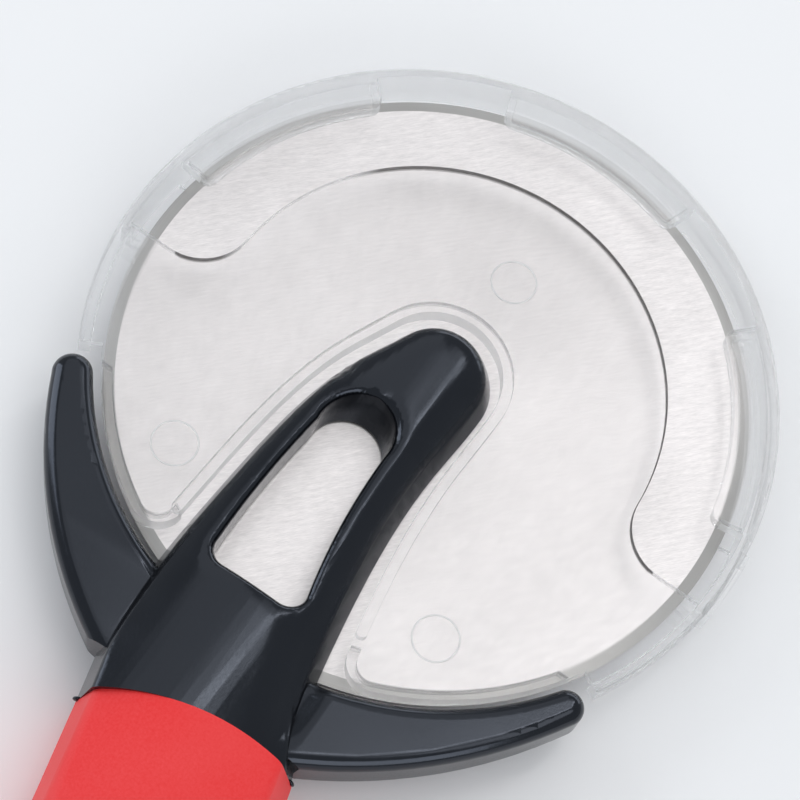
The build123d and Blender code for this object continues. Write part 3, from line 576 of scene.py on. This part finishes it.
def merged_copy(node, levels=None):
    """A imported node's shape as one closed mesh with its flat faces joined. With two levels, what
    lies on the first is moved to the second."""
    shape = bmesh.new()
    shape.from_mesh(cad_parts[node].data)
    if levels:
        old, new = levels
        for corner in shape.verts:
            if abs(corner.co.z - old) < SAME_LEVEL:
                corner.co.z = new
    bmesh.ops.remove_doubles(shape, verts=shape.verts, dist=SAME_PLACE)
    bmesh.ops.dissolve_limit(
        shape,
        angle_limit=SAME_FACE,
        verts=shape.verts,
        edges=shape.edges,
        delimit={"NORMAL"},
    )
    bmesh.ops.recalc_face_normals(shape, faces=shape.faces)
    mark_sharp(shape, SHARP_ANGLE)
    return shape


def soften(piece, width, segments=2):
    """Rounds a piece's sharp edges and evens its shading."""
    bevel = piece.modifiers.new("edge_rounding", "BEVEL")
    bevel.width = width
    bevel.segments = segments
    bevel.limit_method = "ANGLE"
    bevel.angle_limit = SHARP_ANGLE
    bevel.use_clamp_overlap = True
    bevel.harden_normals = False
    even = piece.modifiers.new("even_shading", "WEIGHTED_NORMAL")
    even.keep_sharp = True
    even.weight = 50


def spun_profile(points, steps, centres=((0, 0),)):
    """A closed profile of (radius, height) points spun about upright axes."""
    shape = bmesh.new()
    for x, y in centres:
        corners = [shape.verts.new((x + radius, y, height)) for radius, height in points]
        edges = [shape.edges.new((corners[i - 1], corners[i])) for i in range(len(corners))]
        bmesh.ops.spin(
            shape,
            geom=corners + edges,
            cent=(x, y, 0),
            axis=(0, 0, 1),
            angle=2 * pi,
            steps=steps,
            use_merge=True,
        )
    bmesh.ops.remove_doubles(shape, verts=shape.verts, dist=SAME_PLACE)
    bmesh.ops.recalc_face_normals(shape, faces=shape.faces)
    mark_sharp(shape, SPUN_SHARP_ANGLE)
    return shape


class CUTTER_OT_blade(bpy.types.Operator):
    """Make the brushed blade"""

    bl_idname = "cutter.blade"
    bl_label = "Blade"

    def execute(self, context):
        settings = context.scene.cutter_blade
        half, land = BLADE_THICKNESS / 2, settings.edge_land / 2
        inner, shoulder = settings.hole_radius, BLADE_RADIUS - settings.bevel_width
        profile = [
            (inner, BLADE_LEVEL - half),
            (shoulder, BLADE_LEVEL - half),
            (BLADE_RADIUS, BLADE_LEVEL - land),
            (BLADE_RADIUS, BLADE_LEVEL + land),
            (shoulder, BLADE_LEVEL + half),
            (inner, BLADE_LEVEL + half),
        ]
        disc = spun_profile(profile, steps=256)
        steel = brushed_stainless_steel(settings)
        piece_from(disc, "blade_disc", [steel], "wheel", ["blade"])
        return {"FINISHED"}


def guard_finish(face, settings):
    """Which of the guard's finishes a face has."""
    if abs(face.normal.z) >= UPRIGHT_RISE:
        return POLISHED
    middle = face.calc_center_median()
    out = middle.xy.length
    outward = face.normal.xy.dot(middle.xy) > 0
    on_plate = middle.z < GUARD_PLATE and middle.y > WAVY_START
    if outward and on_plate and settings.edge_start < out < settings.edge_finish:
        return TRIMMED
    if middle.y > LIP_START and abs(out - BEAD_RADIUS) < BEAD_REACH:
        return POLISHED
    return OUTER if outward and out > GUARD_RADIUS - GUARD_WALL else DRAWN


class CUTTER_OT_guard(bpy.types.Operator):
    """Make the clear blade guard"""

    bl_idname = "cutter.guard"
    bl_label = "Blade guard"

    def execute(self, context):
        settings = context.scene.cutter_guard
        shape = merged_copy("blade_guard", (GUARD_PLATE - settings.mark_depth, GUARD_PLATE))
        # The left thumb pad is made flush with the rim
        for corner in shape.verts:
            out = corner.co.xy.length
            if corner.co.x < 0 and out > GUARD_RADIUS + PAD_LEAST:
                corner.co.xy *= GUARD_RADIUS / out
        bmesh.ops.remove_doubles(shape, verts=shape.verts, dist=SAME_PLACE)
        bmesh.ops.dissolve_degenerate(shape, edges=shape.edges, dist=SAME_PLACE)
        mark_sharp(shape, SHARP_ANGLE)
        for face in shape.faces:
            face.material_index = guard_finish(face, settings)
        top_edges = [
            edge
            for edge in shape.edges
            if sorted(face.material_index for face in edge.link_faces) == [POLISHED, TRIMMED]
            and edge.calc_face_angle(0) > TRIM_ANGLE
        ]
        if not top_edges:
            raise RuntimeError("The plate's wavy edge wasn't found")
        bmesh.ops.bevel(
            shape,
            geom=top_edges,
            offset=settings.trim,
            offset_type="OFFSET",
            segments=2,
            profile=0.5,
            affect="EDGES",
            clamp_overlap=True,
            material=TRIMMED,
        )
        drawn = drawn_polystyrene(settings)
        finishes = [
            polished_polystyrene(settings, "polished_polystyrene", settings.body),
            drawn,
            trimmed_polystyrene_painted_shade(settings),
            polished_polystyrene(settings, "polished_polystyrene_wall", settings.outer_body),
        ]
        guard = piece_from(
            shape, "clear_guard", finishes, "guard", ["blade_guard"]
        )
        soften(guard, settings.edge_rounding)
        # Rims of the ejector marks on the plate
        low, high = GUARD_PLATE - settings.mark_rise, GUARD_PLATE + settings.mark_rise
        radius, half = settings.mark_radius, settings.mark_width / 2
        rim = [
            (radius - half, low),
            (radius + half, low),
            (radius + half / 2, high),
            (radius - half / 2, high),
        ]
        rims = spun_profile(rim, steps=64, centres=MARK_PLACES)
        piece_from(rims, "mark_rims", [drawn], "guard", [])
        return {"FINISHED"}


def ramp(value, start, finish):
    """A smooth rise from nothing to one between two values."""
    step = min(1, max(0, (value - start) / (finish - start)))
    return step * step * (3 - 2 * step)


def cut(shape, place, heading, limit=None):
    """Cuts the faces along a plane, or only those left of a limit in X."""
    elements = shape.verts[:] + shape.edges[:] + shape.faces[:]
    if limit is not None:
        elements = [
            element
            for element in elements
            if all(corner.co.x < limit for corner in getattr(element, "verts", [element]))
        ]
    bmesh.ops.bisect_plane(
        shape, geom=elements, dist=CUT_MERGE, plane_co=place, plane_no=heading
    )


def cut_front(shape, settings):
    """Cuts the front finely enough to be shaped, and along its crease."""
    for step in FRONT_STEPS_X:
        cut(shape, (step * MM, 0, 0), (1, 0, 0))
    for step in FRONT_STEPS_Y:
        cut(shape, (0, step * MM, 0), (0, 1, 0), RIGHT_ARM_START)
    for part in CREASE_CUT_SHARES:
        place = (settings.crease + part * settings.crease_softness, CREASE_BEND, 0)
        cut(shape, place, (1, 0, 0))
        cut(shape, place, (1, CREASE_LEAN, 0))
    shape.normal_update()


def front_walls(shape):
    """The walls of the front's outline, and those of its window."""
    solid = BVHTree.FromBMesh(shape)
    outline, window = [], []
    for face in shape.faces:
        top = max(corner.co.z for corner in face.verts)
        if abs(face.normal.z) >= WALL_RISE or top <= WALL_TOP:
            continue
        # A wall inside the shell has the front above the place that it faces
        middle = face.calc_center_median()
        beside = middle + face.normal * BESIDE_WALL
        beside.z = RAY_HEIGHT
        above = solid.ray_cast(beside, Vector((0, 0, -1)))[0]
        if above is not None and above.z >= FRONT_LEVEL:
            continue
        in_window = WINDOW_X[0] < middle.x < WINDOW_X[1] and WINDOW_Y[0] < middle.y < WINDOW_Y[1]
        at_seam = middle.y < SEAM_START and face.normal.y < SEAM_FACING
        if in_window:
            window.append(face)
        elif not at_seam:
            outline.append(face)
    if not outline or not window:
        raise RuntimeError("The front's walls weren't found")
    return outline, window


def distance_from(walls):
    """A function that gives how far a point is in plan from the nearest place on some walls."""
    points = [corner.co.copy() for face in walls for corner in face.verts]
    sides, first = [], 0
    for face in walls:
        sides.append(list(range(first, first + len(face.verts))))
        first += len(face.verts)
    tree = BVHTree.FromPolygons(points, sides)
    return lambda point: (tree.find_nearest(point)[0] - point).xy.length


def front_drop(place, settings, from_outline, from_window):
    """How far the front is lowered at a place."""
    x, y, z = place
    part = min(1, max(0, (z - DROP_LEVEL) / DROP_HEIGHT)) * (1 - ramp(x, *ARM_FADE))
    if part == 0:
        return 0
    # The flank right of the crease, which starts along a parabola
    beyond = x - settings.crease + CREASE_LEAN * min(0, y - CREASE_BEND)
    width = settings.crease_softness
    reach = max(0, beyond) if abs(beyond) > width else (beyond + width) ** 2 / (4 * width)
    drop = settings.flank_slope * min(reach, FLANK_REACH) * (1 - ramp(-y, *FLANK_SEAM_FADE))
    drop *= 1 - ramp(y, *NOSE_FADE)
    near = max(0, 1 - from_outline(place) / settings.shoulder)
    drop += settings.shoulder_drop * near**2 * (1 - ramp(-y, *SHOULDER_SEAM_FADE))
    near = max(0, 1 - from_window(place) / settings.window_shoulder)
    drop += settings.window_drop * near**2
    return min(drop, DEEPEST_DROP) * part


def sculpt_front(shape, settings):
    """Rounds the yoke's front towards its outline and window, and steepens its right flank."""
    cut_front(shape, settings)
    from_outline, from_window = map(distance_from, front_walls(shape))
    for corner in shape.verts:
        corner.co.z -= front_drop(corner.co, settings, from_outline, from_window)
    mark_sharp(shape, SHARP_ANGLE)


class CUTTER_OT_yoke(bpy.types.Operator):
    """Make the two shells of the yoke and the end cap"""

    bl_idname = "cutter.yoke"
    bl_label = "Yoke"

    def execute(self, context):
        settings = context.scene.cutter_yoke
        plastic = moulded_abs(settings, "moulded_abs")
        pieces = {
            "yoke_front_shell": "yoke_front",
            "yoke_back_shell": "yoke_back",
            "end_cap": "cap",
        }
        for node, name in pieces.items():
            shape = merged_copy(node)
            if node == "yoke_front_shell":
                sculpt_front(shape, settings)
            piece = piece_from(shape, name, [plastic], "frame", [node])
            soften(piece, settings.edge_rounding)
        # Moulding flash at both ends of the seam with the grip
        flash = bmesh.new()
        for place, turn in SEAM_ENDS:
            matrix = Matrix.Translation(Vector(place) * MM) @ Matrix.Rotation(turn, 4, "Z")
            nub = bmesh.ops.create_icosphere(
                flash, subdivisions=3, radius=settings.flash_size
            )["verts"]
            bmesh.ops.scale(flash, verts=nub, vec=FLASH_STRETCH)
            bmesh.ops.transform(flash, verts=nub, matrix=matrix)
        mark_sharp(flash, pi)
        piece_from(flash, "seam_flash", [plastic], "frame", [])
        return {"FINISHED"}


class CUTTER_OT_grip(bpy.types.Operator):
    """Make the soft grip"""

    bl_idname = "cutter.grip"
    bl_label = "Grip"

    def execute(self, context):
        settings = context.scene.cutter_grip
        shape, rubber = merged_copy("grip_sleeve"), moulded_elastomer(settings)
        piece = piece_from(shape, "soft_sleeve", [rubber], "frame", ["grip_sleeve"])
        soften(piece, settings.edge_rounding, segments=3)
        return {"FINISHED"}


class CUTTER_OT_hardware(bpy.types.Operator):
    """Give the hub, axle, washers, screws and core their materials"""

    bl_idname = "cutter.hardware"
    bl_label = "Hub and screws"

    def execute(self, context):
        settings = context.scene.cutter_hardware
        steel, nylon = turned_zinc_plated_steel(settings), moulded_nylon(settings)
        core = moulded_abs(context.scene.cutter_yoke, "moulded_abs_core")
        finishes = {
            "hub_bush": steel,
            "hub_collar": steel,
            "axle_pin": steel,
            "shell_screws": steel,
            "front_washer": nylon,
            "back_washer": nylon,
            "handle_core": core,
        }
        for node, material in finishes.items():
            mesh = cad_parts[node].data
            mesh.materials.clear()
            mesh.materials.append(material)
        return {"FINISHED"}


def softbox(scene, name, place, width, length, brightness, tint):
    """A rectangular light of an even brightness, aimed at the target."""
    lamp = bpy.data.lights.new(name, "AREA")
    lamp.shape = "RECTANGLE"
    lamp.size, lamp.size_y = width, length
    lamp.energy = pi * width * length * brightness
    lamp.color = linear(tint)
    light = bpy.data.objects.new(name, lamp)
    light.location = place
    away = Vector(place) - Vector(LIGHT_TARGET)
    light.rotation_euler = away.to_track_quat("Z", "Y").to_euler()
    scene.collection.objects.link(light)


class CUTTER_OT_stage(bpy.types.Operator):
    """Make the floor, the lights and the camera"""

    bl_idname = "cutter.stage"
    bl_label = "Stage"

    def execute(self, context):
        settings = context.scene.cutter_stage
        scene = context.scene
        sheet = bmesh.new()
        bmesh.ops.create_grid(sheet, x_segments=1, y_segments=1, size=FLOOR_REACH)
        bmesh.ops.translate(sheet, verts=sheet.verts, vec=(0, 0, FLOOR_LEVEL))
        floor = bpy.data.objects.new("floor", mesh_from(sheet, "floor", [smooth_paper(settings)]))
        scene.collection.objects.link(floor)
        for light in LIGHTS:
            softbox(scene, *light)
        room = bpy.data.worlds.new("studio")
        room.use_nodes = True
        background = room.node_tree.nodes["Background"].inputs
        background["Color"].default_value = (*settings.room, 1)
        background["Strength"].default_value = settings.room_brightness
        scene.world = room
        scene.view_settings.view_transform = "Standard"

        lens = bpy.data.cameras.new("camera")
        lens.sensor_width = SENSOR_WIDTH
        lens.lens = settings.focal_length
        camera = bpy.data.objects.new("camera", lens)
        camera.location = CAMERA_PLACE
        camera.rotation_euler = Euler(CAMERA_TURN)
        scene.collection.objects.link(camera)
        scene.camera = camera
        return {"FINISHED"}


class CUTTER_PT_panel(bpy.types.Panel):
    """Lists the cutter's pieces"""

    bl_idname = "CUTTER_PT_panel"
    bl_label = "Pizza cutter wheel"
    bl_space_type = "VIEW_3D"
    bl_region_type = "UI"
    bl_category = "Cutter"

    def draw(self, context):
        for operator, group in PIECES:
            self.layout.operator(operator.bl_idname)
            settings = getattr(context.scene, group)
            for name in settings.bl_rna.properties.keys():
                if name not in ("rna_type", "name"):
                    self.layout.prop(settings, name)


SETTINGS = {
    "cutter_blade": BladeSettings,
    "cutter_guard": GuardSettings,
    "cutter_yoke": YokeSettings,
    "cutter_grip": GripSettings,
    "cutter_hardware": HardwareSettings,
    "cutter_stage": StageSettings,
}
PIECES = (
    (CUTTER_OT_blade, "cutter_blade"),
    (CUTTER_OT_guard, "cutter_guard"),
    (CUTTER_OT_yoke, "cutter_yoke"),
    (CUTTER_OT_grip, "cutter_grip"),
    (CUTTER_OT_hardware, "cutter_hardware"),
    (CUTTER_OT_stage, "cutter_stage"),
)


def register():
    for name, group in SETTINGS.items():
        bpy.utils.register_class(group)
        setattr(bpy.types.Scene, name, PointerProperty(type=group))
    for operator, _ in PIECES:
        bpy.utils.register_class(operator)
    bpy.utils.register_class(CUTTER_PT_panel)


def unregister():
    bpy.utils.unregister_class(CUTTER_PT_panel)
    for operator, _ in reversed(PIECES):
        bpy.utils.unregister_class(operator)
    for name, group in reversed(SETTINGS.items()):
        delattr(bpy.types.Scene, name)
        bpy.utils.unregister_class(group)


def main():
    register()
    bpy.ops.cutter.blade()
    bpy.ops.cutter.guard()
    bpy.ops.cutter.yoke()
    bpy.ops.cutter.grip()
    bpy.ops.cutter.hardware()
    bpy.ops.cutter.stage()


if __name__ == "__main__":
    main()
